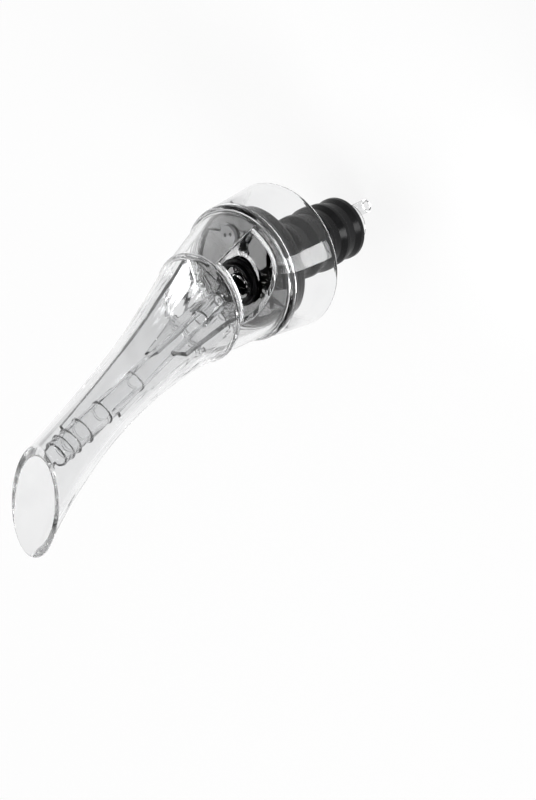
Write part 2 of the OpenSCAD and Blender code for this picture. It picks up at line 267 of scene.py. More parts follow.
@dataclass(frozen=True)
class BlackSilicone:
    """Black silicone rubber: a satin skin with fine grain and a trace of dust."""

    name: str = "black_silicone"
    deep: Colour = (0.005, 0.005, 0.0055)
    dusty: Colour = (0.014, 0.014, 0.015)
    smooth: float = 0.24
    matt: float = 0.42
    dust_size: float = 7 * MM
    dust_detail: float = 4.0
    dust_span: Flat = (0.45, 0.8)
    grain_size: float = 0.25 * MM
    grain_detail: float = 1.0
    grain_depth: float = 0.02 * MM
    grain_strength: float = 0.25
    ior: float = 1.42
    specular: float = 0.18

    def material(self) -> bpy.types.Material:
        """Makes the material.

        Returns:
            A new Blender material.
        """
        made, graph = blank(self.name)
        dust = graph.noise(self.dust_size, self.dust_detail).spread(*self.dust_span)
        grain = graph.noise(self.grain_size, self.grain_detail)
        shader = graph.add("ShaderNodeBsdfPrincipled", sockets={
            "Base Color": graph.mix(dust, self.deep, self.dusty),
            "Roughness": self.smooth + (self.matt - self.smooth) * dust,
            "Normal": graph.bump(grain, self.grain_depth, self.grain_strength),
            "IOR": self.ior,
            "Specular IOR Level": self.specular,
        })
        graph.add("ShaderNodeOutputMaterial", sockets={"Surface": shader})
        return made


@dataclass(frozen=True)
class PaleFloor:
    """Pale floor with a painted pool of light: its glow is white about its middle and fades to pale grey
    further off, with the shadow kept.

    The eye sees the same floor straight, mirrored and through the clear pieces.
    """

    # The middle of the painted pool of light, and the painted grey of the glow far from it.
    middle: Spot
    painted_falloff_tone: Colour
    name: str = "pale_floor"
    white: Colour = (1.0, 1.0, 1.0)
    plain: Colour = (0.96, 0.96, 0.96)
    fleck: Colour = (0.93, 0.93, 0.93)
    fleck_size: float = 40 * MM
    # Distances from the middle at which the painted pool of light starts to fade and has faded to the far
    # grey.
    white_r: float = 0.17
    grey_r: float = 0.6
    lift: float = 0.88

    def material(self) -> bpy.types.Material:
        """Makes the material.

        Returns:
            A new Blender material.
        """
        made, graph = blank(self.name)
        eye = graph.add("ShaderNodeLightPath", out="Is Camera Ray")
        mirrored = graph.add("ShaderNodeLightPath", out="Is Glossy Ray")
        through = graph.add("ShaderNodeLightPath", out="Is Transmission Ray")
        flecks = graph.mix(graph.noise(self.fleck_size), self.plain, self.fleck)
        paper = graph.add("ShaderNodeBsdfPrincipled", sockets={
            "Base Color": flecks, "Roughness": 1.0, "Specular IOR Level": 0.0,
        })
        place = graph.add("ShaderNodeTexCoord", out="Object")
        reach = graph.add("ShaderNodeVectorMath", {"operation": "DISTANCE"}, {0: place, 1: self.middle},
                          out="Value")
        # Painted pool of light: the glow's colour fades from white to the far grey with the distance from
        # the middle.
        painted_falloff_tone = tuple(tone / self.lift for tone in self.painted_falloff_tone)
        glow = graph.add("ShaderNodeBsdfPrincipled", sockets={
            "Base Color": (0.0, 0.0, 0.0, 1.0), "Specular IOR Level": 0.0,
            "Emission Color": graph.mix(reach.spread(self.white_r, self.grey_r), self.white, painted_falloff_tone),
            "Emission Strength": 1.0,
        })
        seen = (eye | mirrored | through) * self.lift
        mixed = graph.add("ShaderNodeMixShader", sockets={0: seen, 1: paper, 2: glow})
        graph.add("ShaderNodeOutputMaterial", sockets={"Surface": mixed})
        return made


class Palette:
    """One material of each finish."""

    def __init__(self) -> None:
        """Makes the materials.

        The spout has long flow lines along its lean, the plate short ones, and thin pieces hardly any.
        The skirt and the spout are a little less clear than the rest, the skirt also mirrors less, and
        the thin pieces are greyer in their depths.
        """
        outer = {"clear": (0.92, 0.922, 0.925), "cloudy": (0.88, 0.883, 0.887)}
        self.shell = ClearAcrylic(murk=24.0).material()
        self.skirt = ClearAcrylic(name="clear_acrylic_skirt", murk=24.0, ior=1.34, **outer).material()
        self.spout = ClearAcrylic(name="clear_acrylic_spout", murk=5.0, wave_size=2.2 * MM,
                                  wave_stretch=24.0, wave_lean=math.radians(21.8),
                                  wave_depth=0.15 * MM, wave_strength=1.0, **outer).material()
        self.thin = ClearAcrylic(name="clear_acrylic_thin", murk=150.0, haze=0.015,
                                 wave_strength=0.02).material()
        self.plate = ClearAcrylic(name="clear_acrylic_plate", wave_size=3.5 * MM,
                                  wave_strength=0.8).material()
        self.milky = ClearAcrylic(name="clear_acrylic_milky", clear=(0.75, 0.75, 0.76),
                                  cloudy=(0.66, 0.66, 0.67), polish=0.2, transmission=0.55).material()
        self.silicone = BlackSilicone().material()


def rounded(corners: Sequence[Corner], steps: int = 5, most: float = 0.48) -> List[Flat]:
    """Rounds the corners of a closed outline.

    Args:
        corners: each corner's two coordinates and its radius.
        steps: the number of steps of each arc.
        most: the largest share of an edge that an arc takes.

    Returns:
        The points of the rounded outline.
    """
    points: List[Flat] = []
    for index, (across, along, radius) in enumerate(corners):
        here = Vector((across, along))
        back = Vector(corners[index - 1][:2]) - here
        ahead = Vector(corners[(index + 1) % len(corners)][:2]) - here
        half = back.angle(ahead) / 2
        cut = min(radius / math.tan(half), most * back.length, most * ahead.length)
        if cut <= 0:
            points.append((across, along))
            continue
        start = here + back.normalized() * cut
        end = here + ahead.normalized() * cut
        middle = here + (back.normalized() + ahead.normalized()).normalized() * (cut / math.cos(half))
        for step in range(steps + 1):
            spoke = (start - middle).slerp(end - middle, step / steps).normalized()
            point = middle + spoke * (start - middle).length
            points.append((point.x, point.y))
    return points


def linked(name: str, data: bpy.types.ID) -> bpy.types.Object:
    """Makes an object and links it to the scene.

    Args:
        name: the object's name.
        data: its mesh, lamp or camera.

    Returns:
        The new object.
    """
    made = bpy.data.objects.new(name, data)
    bpy.context.scene.collection.objects.link(made)
    return made


class Solid:
    """Points and faces of one closed piece, gathered before it becomes a mesh."""

    def __init__(self) -> None:
        """Starts with nothing."""
        self.mesh = bmesh.new()

    def loops(self, columns: Sequence[Sequence[Vector]],
              keep: Callable[[int, int], bool] = lambda column, row: True
              ) -> List[List[bmesh.types.BMVert]]:
        """Joins closed loops, one per column, into a skin that closes on itself both ways.

        Args:
            columns: the points of each loop, as many in each.
            keep: says which faces are made, by column and row.

        Returns:
            The vertices, column by column.
        """
        grid = [[self.mesh.verts.new(point) for point in column] for column in columns]
        for column, here in enumerate(grid):
            beyond = grid[(column + 1) % len(grid)]
            for row in range(len(here)):
                up = (row + 1) % len(here)
                if keep(column, row):
                    self.mesh.faces.new((here[row], beyond[row], beyond[up], here[up]))
        return grid

    def slab(self, outline: Sequence[Flat], thickness: float) -> None:
        """Adds a flat plate along the XZ plane of its own frame.

        Args:
            outline: its (x, z) points.
            thickness: its extent along Y, half on each side of the plane.
        """
        sides = [[self.mesh.verts.new((across, offset, along)) for across, along in outline]
                 for offset in (-thickness / 2, thickness / 2)]
        count = len(outline)
        self.mesh.faces.new(sides[0])
        self.mesh.faces.new(reversed(sides[1]))
        for index in range(count):
            ahead = (index + 1) % count
            self.mesh.faces.new((sides[0][index], sides[0][ahead], sides[1][ahead], sides[1][index]))

    def soften(self, width: float, over: float, where: Callable[[Vector], bool] = lambda point: True,
               segments: int = 3) -> None:
        """Rounds the edges that are sharper than an angle.

        Args:
            width: how far the rounding reaches from the edge.
            over: the least angle between the faces, in degrees.
            where: says whether an edge counts, by its middle.
            segments: the number of faces across a rounded edge.
        """
        bmesh.ops.recalc_face_normals(self.mesh, faces=self.mesh.faces)
        edges = [edge for edge in self.mesh.edges
                 if edge.calc_face_angle(0.0) > math.radians(over)
                 and where((edge.verts[0].co + edge.verts[1].co) / 2)]
        bmesh.ops.bevel(self.mesh, geom=edges, offset=width, offset_type="OFFSET", segments=segments,
                        profile=ROUND_PROFILE, affect="EDGES", clamp_overlap=True)

    def finish(self, name: str, place: Matrix = Matrix.Identity(4), sharp: float = 32.0,
               weld: float = 0.001 * MM) -> bpy.types.Object:
        """Turns the solid into an object.

        Args:
            name: the piece's name.
            place: where its own frame lies in the part's frame.
            sharp: the least angle of an edge that stays crisp, in degrees.
            weld: the distance under which points become one.

        Returns:
            The new object, at the origin of the part's frame.
        """
        bmesh.ops.remove_doubles(self.mesh, verts=self.mesh.verts, dist=weld)
        bmesh.ops.recalc_face_normals(self.mesh, faces=self.mesh.faces)
        self.mesh.transform(place)
        shade(self.mesh, sharp)
        data = bpy.data.meshes.new(name)
        self.mesh.to_mesh(data)
        self.mesh.free()
        return linked(name, data)


def shade(mesh: bmesh.types.BMesh, sharp: float) -> None:
    """Shades a mesh smooth but for its crisp edges.

    Args:
        mesh: the mesh.
        sharp: the least angle of an edge that stays crisp, in degrees.
    """
    for face in mesh.faces:
        face.smooth = True
    for edge in mesh.edges:
        edge.smooth = edge.calc_face_angle(0.0) < math.radians(sharp)


def turned(name: str, outline: Sequence[Flat], place: Matrix = Matrix.Identity(4),
           columns: int = 160) -> bpy.types.Object:
    """Turns a closed outline round the z axis of its own frame.

    Args:
        name: the piece's name.
        outline: (radius, height) points.
        place: where the axis lies in the part's frame.
        columns: the number of steps round the axis.

    Returns:
        The new object.
    """
    solid = Solid()
    turns = [FULL_TURN * column / columns for column in range(columns)]
    solid.loops([[Vector((r * math.cos(turn), r * math.sin(turn), z)) for r, z in outline]
                 for turn in turns])
    return solid.finish(name, place)


def joined(pieces: Sequence[bpy.types.Object], sharp: float = 10.0, sliver: float = 0.01 * MM,
           level: float = 0.002) -> bpy.types.Object:
    """Melts closed pieces into the first one and removes the others.

    Args:
        pieces: the pieces, which overlap.
        sharp: the least angle of an edge that stays crisp, in degrees.
        sliver: the width under which points and faces are taken together.
        level: the angle in radians under which faces count as one plane.

    Returns:
        The first piece, now one solid.
    """
    first, others = pieces[0], pieces[1:]
    for other in others:
        union = first.modifiers.new("union", "BOOLEAN")
        union.operation = "UNION"
        union.solver = "EXACT"
        union.object = other
    bpy.context.view_layer.update()
    melted = bpy.data.meshes.new_from_object(first.evaluated_get(bpy.context.evaluated_depsgraph_get()))
    first.modifiers.clear()
    mesh = bmesh.new()
    mesh.from_mesh(melted)
    bmesh.ops.remove_doubles(mesh, verts=mesh.verts, dist=sliver)
    bmesh.ops.dissolve_degenerate(mesh, dist=sliver, edges=mesh.edges)
    bmesh.ops.dissolve_limit(mesh, angle_limit=level, verts=mesh.verts, edges=mesh.edges)
    shade(mesh, sharp)
    mesh.to_mesh(melted)
    mesh.free()
    melted.name = first.name
    first.data = melted
    for other in others:
        bpy.data.objects.remove(other)
    return first


def dressed(piece: bpy.types.Object, material: bpy.types.Material, body: Body, slot: Slot,
            *stands_for: str) -> bpy.types.Object:
    """Gives a new piece its finish and its body, and hides the nodes that it stands for.

    Args:
        piece: the new piece.
        material: its finish.
        body: the body that it rides on.
        slot: the record's slot of its finish; not used.
        stands_for: the names of the nodes that it replaces.

    Returns:
        The same piece.
    """
    piece.data.materials.clear()
    piece.data.materials.append(material)
    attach(piece, body.value)
    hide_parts(*stands_for)
    LOG.info("%s: %d faces, stands for %s", piece.name, len(piece.data.polygons), ", ".join(stands_for))
    return piece


def redressed(node: str, material: bpy.types.Material) -> None:
    """Gives a node that keeps its own solid a better finish.

    Args:
        node: the node's name.
        material: its finish.
    """
    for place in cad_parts[node].material_slots:
        place.material = material
    LOG.info("%s: keeps its solid", node)


def bezier(points: Sequence[float], share: float) -> float:
    """A cubic curve that runs from its first control value to its last.

    Args:
        points: its four control values.
        share: the share of the way along it, from nought to one.

    Returns:
        The curve's value there.
    """
    rest = 1 - share
    a, b, c, d = points
    return a * rest ** 3 + 3 * b * share * rest ** 2 + 3 * c * share ** 2 * rest + d * share ** 3


def bezier_slope(points: Sequence[float], share: float) -> float:
    """The slope of that curve.

    Args:
        points: the curve's four control values.
        share: the share of the way along it, from nought to one.

    Returns:
        The change of its value per share.
    """
    rest = 1 - share
    a, b, c, d = points
    return 3 * (b - a) * rest ** 2 + 6 * (c - b) * share * rest + 3 * (d - c) * share ** 2


def eased(share: float) -> float:
    """A share held between nought and one, with soft ends."""
    held = min(max(share, 0.0), 1.0)
    return held * held * (3 - 2 * held)


def between(first: float, last: float, steps: int) -> List[float]:
    """Evenly spaced values from the first to the last."""
    return [first + (last - first) * step / steps for step in range(steps + 1)]


def settled(low: float, high: float, inside: Callable[[float], bool], halvings: int = 26) -> float:
    """The value between two where a test stops holding, found by halving.

    Args:
        low: a value at which the test holds.
        high: a value at which it doesn't.
        inside: the test.
        halvings: how often the stretch between them is halved.

    Returns:
        The limit of the test.
    """
    for _ in range(halvings):
        middle = (low + high) / 2
        if inside(middle):
            low = middle
        else:
            high = middle
    return low


@dataclass
class StopperBase:
    """The black stopper: a round-edged flange over a ribbed plug, bored for the spigot."""

    bore_r: float = 6.05 * MM
    land_r: float = 9.4 * MM
    land_len: float = 5 * MM
    rib_count: int = 5
    rib_depth: float = 1.3 * MM
    rib_taper: float = 0.12 * MM
    crest_share: float = 0.3
    lead: float = 0.6 * MM
    flange_round: float = 1.2 * MM
    soft: float = 0.3 * MM

    def outline(self) -> List[Flat]:
        """The stopper's section.

        Returns:
            Its points, from the bore's top round the flange and down the ribs.
        """
        low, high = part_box("stopper")
        flange_r, top, tip = high.x, high.z, low.z
        corners: List[Corner] = [
            (self.bore_r, top, self.soft), (flange_r, top, self.flange_round),
            (flange_r, 0.0, self.flange_round), (self.land_r, 0.0, self.soft),
            (self.land_r, -self.land_len, self.soft),
        ]
        root = self.land_r - self.rib_depth
        pitch = (-tip - self.land_len) / self.rib_count
        crest = pitch * self.crest_share
        for rib in range(self.rib_count):
            r = self.land_r - (rib + 1) * self.rib_taper
            z = -self.land_len - rib * pitch
            corners += [(root, z, self.soft), (root, z - pitch + 2 * crest, self.soft),
                        (r, z - pitch + crest, 2 * self.soft), (r, z - pitch + self.lead, self.soft)]
        end_r = self.land_r - self.rib_count * self.rib_taper - self.lead
        corners += [(end_r, tip, self.soft), (self.bore_r, tip, self.soft)]
        return rounded(corners)

    def build(self, palette: Palette) -> None:
        """Builds and dresses the stopper."""
        piece = turned("stopper_rubber", self.outline())
        dressed(piece, palette.silicone, Body.STOPPER, Slot.SILICONE, "stopper")


@dataclass
class StemUnit:
    """What the stopper carries: the plate with its spigot, seals, vent and nozzle."""

    gasket_bore_r: float = 4.65 * MM
    gasket_step: float = 1 * MM
    soft: float = 0.2 * MM

    def build(self, palette: Palette) -> None:
        """Builds the stepped gasket and dresses the pieces that keep their solids.

        Args:
            palette: the finishes.
        """
        low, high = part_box("nozzle_gasket")
        rim = (high.x - low.x) / 2
        tall = high.z - low.z
        waist = rim - self.gasket_step
        corners = [(self.gasket_bore_r, 0.0, self.soft), (rim, 0.0, self.soft), (rim, tall / 2, self.soft),
                   (waist, tall / 2, self.soft), (waist, tall, self.soft),
                   (self.gasket_bore_r, tall, self.soft)]
        place = Matrix.Translation(((low.x + high.x) / 2, 0.0, low.z))
        gasket = turned("stepped_gasket", rounded(corners), place)
        dressed(gasket, palette.silicone, Body.STEM, Slot.SILICONE, "nozzle_gasket")
        redressed("chamber_seal", palette.silicone)
        redressed("stem", palette.plate)
        redressed("vent_tube", palette.thin)
        redressed("vent_cap", palette.milky)
        redressed("wine_nozzle", palette.thin)


@dataclass
class SpoutLine:
    """The bent trumpet of the spout: its middle line, radius and the tilt of its sections."""

    ring_z: float
    ring_out: float = 3.4 * MM
    ring_d: float = 28.6 * MM
    mouth_out: float = 28.3 * MM
    mouth_rise: float = 70.7 * MM
    mouth_d: float = 17.4 * MM
    mouth_tilt: float = math.radians(19.5)
    waist_low_d: float = 14 * MM
    waist_high_d: float = 13.4 * MM
    bend_start: Flat = (0.31, 0.335)
    bend_end: Flat = (0.555, 0.364)
    turn_out: float = 0.2
    turn_in: float = 0.5

    def outs(self) -> Sequence[float]:
        """Control values of the middle line's distance out."""
        end = self.ring_out + self.mouth_out
        return (self.ring_out, self.ring_out + self.bend_start[0] * self.mouth_out,
                end - self.bend_end[0] * self.mouth_out, end)

    def heights(self) -> Sequence[float]:
        """Control values of the middle line's height."""
        end = self.ring_z + self.mouth_rise
        return (self.ring_z, self.ring_z + self.bend_start[1] * self.mouth_rise,
                end - self.bend_end[1] * self.mouth_rise, end)

    def radius(self, share: float) -> float:
        """Outer radius at a share of the length."""
        return bezier((self.ring_d, self.waist_low_d, self.waist_high_d, self.mouth_d), share) / 2

    def lean(self, share: float) -> float:
        """Lean of the middle line from the vertical."""
        return math.atan2(bezier_slope(self.outs(), share), bezier_slope(self.heights(), share))

    def tilt(self, share: float) -> float:
        """Tilt of the section: level at the ring, square to the line, then into the mouth's plane."""
        into = eased((share - self.turn_in) / (1 - self.turn_in))
        return eased(share / self.turn_out) * self.lean(share) * (1 - into) - into * self.mouth_tilt

    def section(self, share: float, inset: float) -> Tuple[float, float, float, float, float]:
        """One section of the spout.

        Args:
            share: the share of the way from the ring to the mouth.
            inset: how far it is drawn in from the outer skin.

        Returns:
            Its middle's distance out and height, half length, half width and tilt.
        """
        r = self.radius(share) - inset
        tilt = self.tilt(share)
        half = r / math.cos(self.lean(share) - tilt)
        return bezier(self.outs(), share), bezier(self.heights(), share), half, r, tilt

    def point(self, share: float, turn: float, inset: float) -> Vector:
        """A point of the spout's skin.

        Args:
            share: the share of the way from the ring to the mouth.
            turn: the angle from the pouring side.
            inset: how far the point is drawn in from the outer skin.

        Returns:
            The point in the part's frame.
        """
        out, height, half, r, tilt = self.section(share, inset)
        reach = half * math.cos(turn)
        return Vector((-out - reach * math.cos(tilt), r * math.sin(turn), height - reach * math.sin(tilt)))

    def holds(self, point: Vector, inset: float) -> bool:
        """Says whether a point lies inside the spout.

        Args:
            point: the point in the part's frame.
            inset: how far the spout is drawn in from its outer skin.

        Returns:
            True where it does.
        """
        def ahead(share: float) -> bool:
            """Says whether the point lies past the section at that share."""
            out, height, _, _, tilt = self.section(share, inset)
            return (-point.x - out) * math.sin(tilt) + (point.z - height) * math.cos(tilt) >= 0

        if not ahead(0.0) or ahead(1.0):
            return False
        out, height, half, r, tilt = self.section(settled(0.0, 1.0, ahead), inset)
        reach = (-point.x - out) * math.cos(tilt) - (point.z - height) * math.sin(tilt)
        return (reach / half) ** 2 + (point.y / r) ** 2 <= 1


@dataclass
class ClearHousing:
    """The clear upper part: skirt, air chamber, spout, flow tube and guide vanes.

    Creases are in degrees, and arcs, rows and columns count the steps of the meshes. The spout's wall
    starts at bead_clear times the bead's share of the middle line, which is sought up to bead_span.
    Heights closer than a hair count as one.
    """

    line: SpoutLine
    skirt_wall: float = 1.6 * MM
    skirt_lip: float = 1.3 * MM
    scarf: float = 0.7 * MM
    shoulder_round: float = 0.9 * MM
    shoulder_wall: float = 2 * MM
    shoulder_step: float = 1 * MM
    shoulder_t: float = 2.4 * MM
    plate_clear: float = 0.5 * MM
    chamber_wall: float = 1.8 * MM
    window_from: float = math.radians(40)
    window_to: float = math.radians(113)
    window_sill: float = 1.9 * MM
    window_lintel: float = 1.3 * MM
    window_round: float = 17.2 * MM
    window_sweep_h: float = 10 * MM
    spout_wall: float = 1.6 * MM
    bead_t: float = 1.1 * MM
    rim_round: float = 0.35 * MM
    inlet_out: float = 5 * MM
    inlet_drop: float = 6.3 * MM
    tube_tilt: float = math.radians(15.2)
    tube_len: float = 69.5 * MM
    tube_inlet_d: float = 4.8 * MM
    tube_outlet_d: float = 6.8 * MM
    tube_wall: float = 0.8 * MM
    ridge_count: int = 5
    ridge_first: float = 37 * MM
    ridge_ratio: float = 0.58
    ridge_h: float = 0.35 * MM
    ridge_end: float = 0.6 * MM
    vane_t: float = 1.2 * MM
    vane_reach: float = 8.6 * MM
    vane_back_len: float = 64 * MM
    vane_front_len: float = 46 * MM
    vane_side_len: float = 24 * MM
    wall_slope: float = 1.5
    hub_len: float = 8 * MM
    hub_wall: float = 0.9 * MM
    seat_fit: float = 0.05 * MM
    free_gap: float = 0.3 * MM
    seam: float = 0.02 * MM
    soft: float = 0.15 * MM
    hair: float = 0.002 * MM
    window_crease: float = 50.0
    spout_crease: float = 40.0
    vane_crease: float = 40.0
    bead_span: float = 0.2
    bead_end: float = 0.46 * math.pi
    bead_clear: float = 1.06
    columns: int = 176
    tube_columns: int = 96
    skirt_arc: int = 8
    window_arc: int = 36
    bead_arc: int = 14
    rim_arc: int = 4
    ridge_arc: int = 12
    window_rows: Tuple[int, int, int] = (7, 10, 3)
    spout_rows: int = 110
    vane_rows: int = 60
    root_rows: int = 240
    skirt_z: float = field(init=False)
    shoulder_r: float = field(init=False)
    shoulder_z: float = field(init=False)
    chamber_h: float = field(init=False)
    tube_place: Matrix = field(init=False)

    def __post_init__(self) -> None:
        """Works out the heights and the flow tube's frame."""
        low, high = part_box("air_chamber")
        self.skirt_z = low.z
        self.shoulder_r = high.x
        self.shoulder_z = self.skirt_z + self.shoulder_t
        self.chamber_h = self.line.ring_z - self.shoulder_z
        inlet = Vector((-self.inlet_out, 0.0, self.line.ring_z - self.inlet_drop))
        self.tube_place = Matrix.Translation(inlet) @ Matrix.Rotation(-self.tube_tilt, 4, "Y")

    def build(self, palette: Palette) -> None:
        """Builds and dresses the five clear pieces.

        Args:
            palette: the finishes.
        """
        pieces = {
            "skirt_shell": (self.skirt, palette.skirt, "neck_skirt"),
            "chamber_shell": (self.chamber, palette.shell, "air_chamber"),
            "spout_trumpet": (self.spout, palette.spout, "spout_shell"),
            "ringed_tube": (self.tube, palette.thin, "flow_tube"),
            "vane_star": (self.vanes, palette.thin, "guide_vanes"),
        }
        for name, (make, material, node) in pieces.items():
            dressed(make(name), material, Body.HOUSING, Slot.ACRYLIC, node)

    def skirt(self, name: str) -> bpy.types.Object:
        """The flared skirt round the stopper's flange, with a full round rim and a slanted top joint.

        Args:
            name: the piece's name.

        Returns:
            The new object.
        """
        low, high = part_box("neck_skirt")
        rim_r = high.x
        rim = self.skirt_wall / 2
        top = high.z + self.seam
        corners = [(rim_r, low.z, rim), (self.shoulder_r, top, self.seam),
                   (self.shoulder_r - self.skirt_lip, top - self.scarf, self.seam),
                   (rim_r - self.skirt_wall, low.z, rim)]
        return turned(name, rounded(corners, self.skirt_arc), columns=self.columns)

    def chamber_r(self, height: float) -> float:
        """Outer radius of the chamber's wall at a height."""
        foot = self.shoulder_r - self.shoulder_step
        return foot + (self.line.ring_d / 2 - foot) * ((height - self.shoulder_z) / self.chamber_h)

    def chamber_out(self, height: float) -> float:
        """Shift of the chamber's middle towards the pouring side at a height."""
        return max(0.0, self.line.ring_out * (height - self.shoulder_z) / self.chamber_h)

    def sweep(self, turn: float) -> float:
        """Height of a window's lower edge at a turn from the back of the chamber.

        Args:
            turn: the angle from the back, between the window's two ends.

        Returns:
            The sill's height at the back, swept up towards the front.
        """
        sill = self.shoulder_z + self.window_sill
        corner = sill + self.window_sweep_h
        front_x = self.chamber_r(corner) * math.cos(self.window_to) - self.chamber_out(corner)
        bend = math.acos(1 - self.window_sweep_h / self.window_round)

        def behind(angle: float) -> bool:
            """Says whether the edge's arc lies behind the wall at the turn.

            Args:
                angle: the angle along the arc, from the sill.

            Returns:
                True where it does.
            """
            height = sill + self.window_round * (1 - math.cos(angle))
            x = front_x + self.window_round * (math.sin(bend) - math.sin(angle))
            return x >= self.chamber_r(height) * math.cos(turn) - self.chamber_out(height)

        if not behind(0.0):
            return sill
        return sill + self.window_round * (1 - math.cos(settled(0.0, bend, behind)))

    def chamber_column(self, turn: float, rows: Sequence[int]) -> List[Vector]:
        """One loop of the chamber's section, up its outside and down its inside.

        Args:
            turn: the angle from the back of the chamber.
            rows: the numbers of steps under, beside and over a window.

        Returns:
            The loop's points.
        """
        side = min(max(abs(turn), self.window_from), self.window_to)
        sill, lintel = self.sweep(side), self.line.ring_z - self.window_lintel
        top = self.line.ring_z
        foot = self.shoulder_z + self.soft
        levels = between(foot, sill, rows[0])[:-1] + between(sill, lintel, rows[1])[:-1]
        levels += between(lintel, top - self.soft, rows[2])
        bore_r = self.shoulder_r - self.shoulder_wall
        plate_z = self.shoulder_z - self.plate_clear
        lip_r = self.shoulder_r - self.skirt_lip
        lip = [(lip_r, self.skirt_z, 0.0), (lip_r, self.skirt_z - self.scarf, 0.0)]
        shoulder = rounded([
            (bore_r, self.skirt_z, self.soft), *lip, (self.shoulder_r, self.skirt_z, self.seam),
            (self.shoulder_r, self.shoulder_z, self.shoulder_round),
            (bore_r - self.chamber_wall, self.shoulder_z, 0.0),
            (bore_r - self.chamber_wall, plate_z, 0.0), (bore_r, plate_z, self.soft),
        ])
        ring = [(r, z) for r, z in shoulder if r > self.chamber_r(self.shoulder_z) - self.soft]
        inner_step = [(r, z) for r, z in shoulder if bore_r - self.soft < r < bore_r + self.soft]
        wall = [(self.chamber_r(z), z) for z in levels]
        edge = [(self.chamber_r(top) - self.soft, top),
                (self.chamber_r(top) - self.chamber_wall + self.soft, top)]
        inside = [(self.chamber_r(z) - self.chamber_wall, z) for z in reversed(levels)]
        floor = [(self.chamber_r(plate_z) - self.chamber_wall, plate_z)]
        bore = [(r, z) for r, z in inner_step if z > self.skirt_z + self.soft]
        base = [(r, z) for r, z in inner_step if z <= self.skirt_z + self.soft]
        loop = base + [(r, z) for r, z, _ in lip] + ring + wall + edge + inside + floor + bore
        return [Vector((r * math.cos(turn) - self.chamber_out(z), r * math.sin(turn), z))
                for r, z in loop]

    def chamber(self, name: str) -> bpy.types.Object:
        """Shoulder and leaning wall with an open window on each side, all edges softened.

        Args:
            name: the piece's name.

        Returns:
            The new object.
        """
        rows, arc = self.window_rows, self.window_arc
        near = between(self.window_from, self.window_to, arc)
        back = between(-self.window_from, self.window_from, arc)
        front = between(self.window_to, FULL_TURN - self.window_to, 2 * arc)
        turns = back[:-1] + near[:-1] + front[:-1] + [-turn for turn in reversed(near)][:-1]
        folded = [turn - FULL_TURN if turn > math.pi else turn for turn in turns]
        loops = [self.chamber_column(turn, rows) for turn in folded]
        foot = self.shoulder_z + self.soft
        outside = next(i for i, p in enumerate(loops[0]) if abs(p.z - foot) < self.hair)
        levels = sum(rows) + 1
        inside = outside + levels + 2
        first, last = rows[0], rows[0] + rows[1]
        windows = set(range(arc, 2 * arc)) | set(range(len(turns) - arc, len(turns)))

        def open_row(row: int) -> bool:
            """Says whether a row of the wall's faces lies beside a window, outside or inside."""
            up, down = row - outside, inside + levels - 2 - row
            return first <= up < last or first <= down < last

        solid = Solid()
        grid = solid.loops(loops, lambda column, row: not (column in windows and open_row(row)))
        for start in (arc, len(turns) - arc):
            ends = (start, (start + arc) % len(turns))
            sides = [(start + k) % len(turns) for k in range(arc + 1)]
            border = [(sides[k], first) for k in range(arc)]
            border += [(ends[1], row) for row in range(first, last)]
            border += [(sides[k], last) for k in range(arc, 0, -1)]
            border += [(ends[0], row) for row in range(last, first, -1)]
            for index, (column, row) in enumerate(border):
                beyond, up = border[(index + 1) % len(border)]
                solid.mesh.faces.new((grid[column][outside + row], grid[beyond][outside + up],
                                      grid[beyond][inside + levels - 1 - up],
                                      grid[column][inside + levels - 1 - row]))
        low = self.shoulder_z + self.window_sill / 2
        high = self.line.ring_z - self.window_lintel / 2
        solid.soften(2 * self.soft, self.window_crease, lambda point: low < point.z < high)
        return solid.finish(name)

    def spout(self, name: str) -> bpy.types.Object:
        """The bent trumpet with a bead round its base and a rounded, slanted mouth.

        Args:
            name: the piece's name.

        Returns:
            The new object.
        """
        line, wall = self.line, self.spout_wall
        bead = self.bead_t / 2
        foot = line.ring_z - self.seam
        bead_r = line.ring_d / 2 - bead / 2
        length = Vector((bezier_slope(line.outs(), 1.0), bezier_slope(line.heights(), 1.0))).length
        rim = self.rim_round / length
        crest = line.ring_z + self.bead_t
        over_bead = settled(0.0, self.bead_span, lambda u: bezier(line.heights(), u) < crest)
        swell = between(-math.pi / 2, self.bead_end, self.bead_arc)
        rise = between(over_bead * self.bead_clear, 1 - rim, self.spout_rows)
        arc = between(0.0, math.pi / 2, self.rim_arc)

        def column(turn: float) -> List[Vector]:
            """One loop of the spout's section, up its outside and down its inside.

            Args:
                turn: the angle from the pouring side.

            Returns:
                The loop's points.
            """
            points = [Vector((-line.ring_out - r * math.cos(turn), r * math.sin(turn), z)) for r, z in
                      [(bead_r + bead * math.cos(a), foot + bead + bead * math.sin(a)) for a in swell]]
            points += [line.point(u, turn, 0.0) for u in rise]
            lips = [(self.rim_round * (1 - math.cos(a)), 1 - rim * (1 - math.sin(a))) for a in arc]
            points += [line.point(u, turn, inset) for inset, u in lips[1:]]
            points += [line.point(u, turn, wall - inset) for inset, u in reversed(lips)]
            points += [line.point(u, turn, wall) for u in reversed(rise[:-1])]
            inner = line.ring_d / 2 - wall
            points.append(Vector((-line.ring_out - inner * math.cos(turn), inner * math.sin(turn), foot)))
            return points

        solid = Solid()
        solid.loops([column(FULL_TURN * k / self.columns) for k in range(self.columns)])
        return solid.finish(name, sharp=self.spout_crease)

    def tube_r(self, along: float) -> float:
        """Outer radius of the flow tube at a distance from its inlet."""
        share = along / self.tube_len
        return (self.tube_inlet_d + (self.tube_outlet_d - self.tube_inlet_d) * share) / 2

    def ridges(self) -> List[float]:
        """Places of the ring ridges along the tube, each closer to the last."""
        end = self.tube_len + self.ridge_end
        return [end - (end - self.ridge_first) * self.ridge_ratio ** k for k in range(self.ridge_count)]

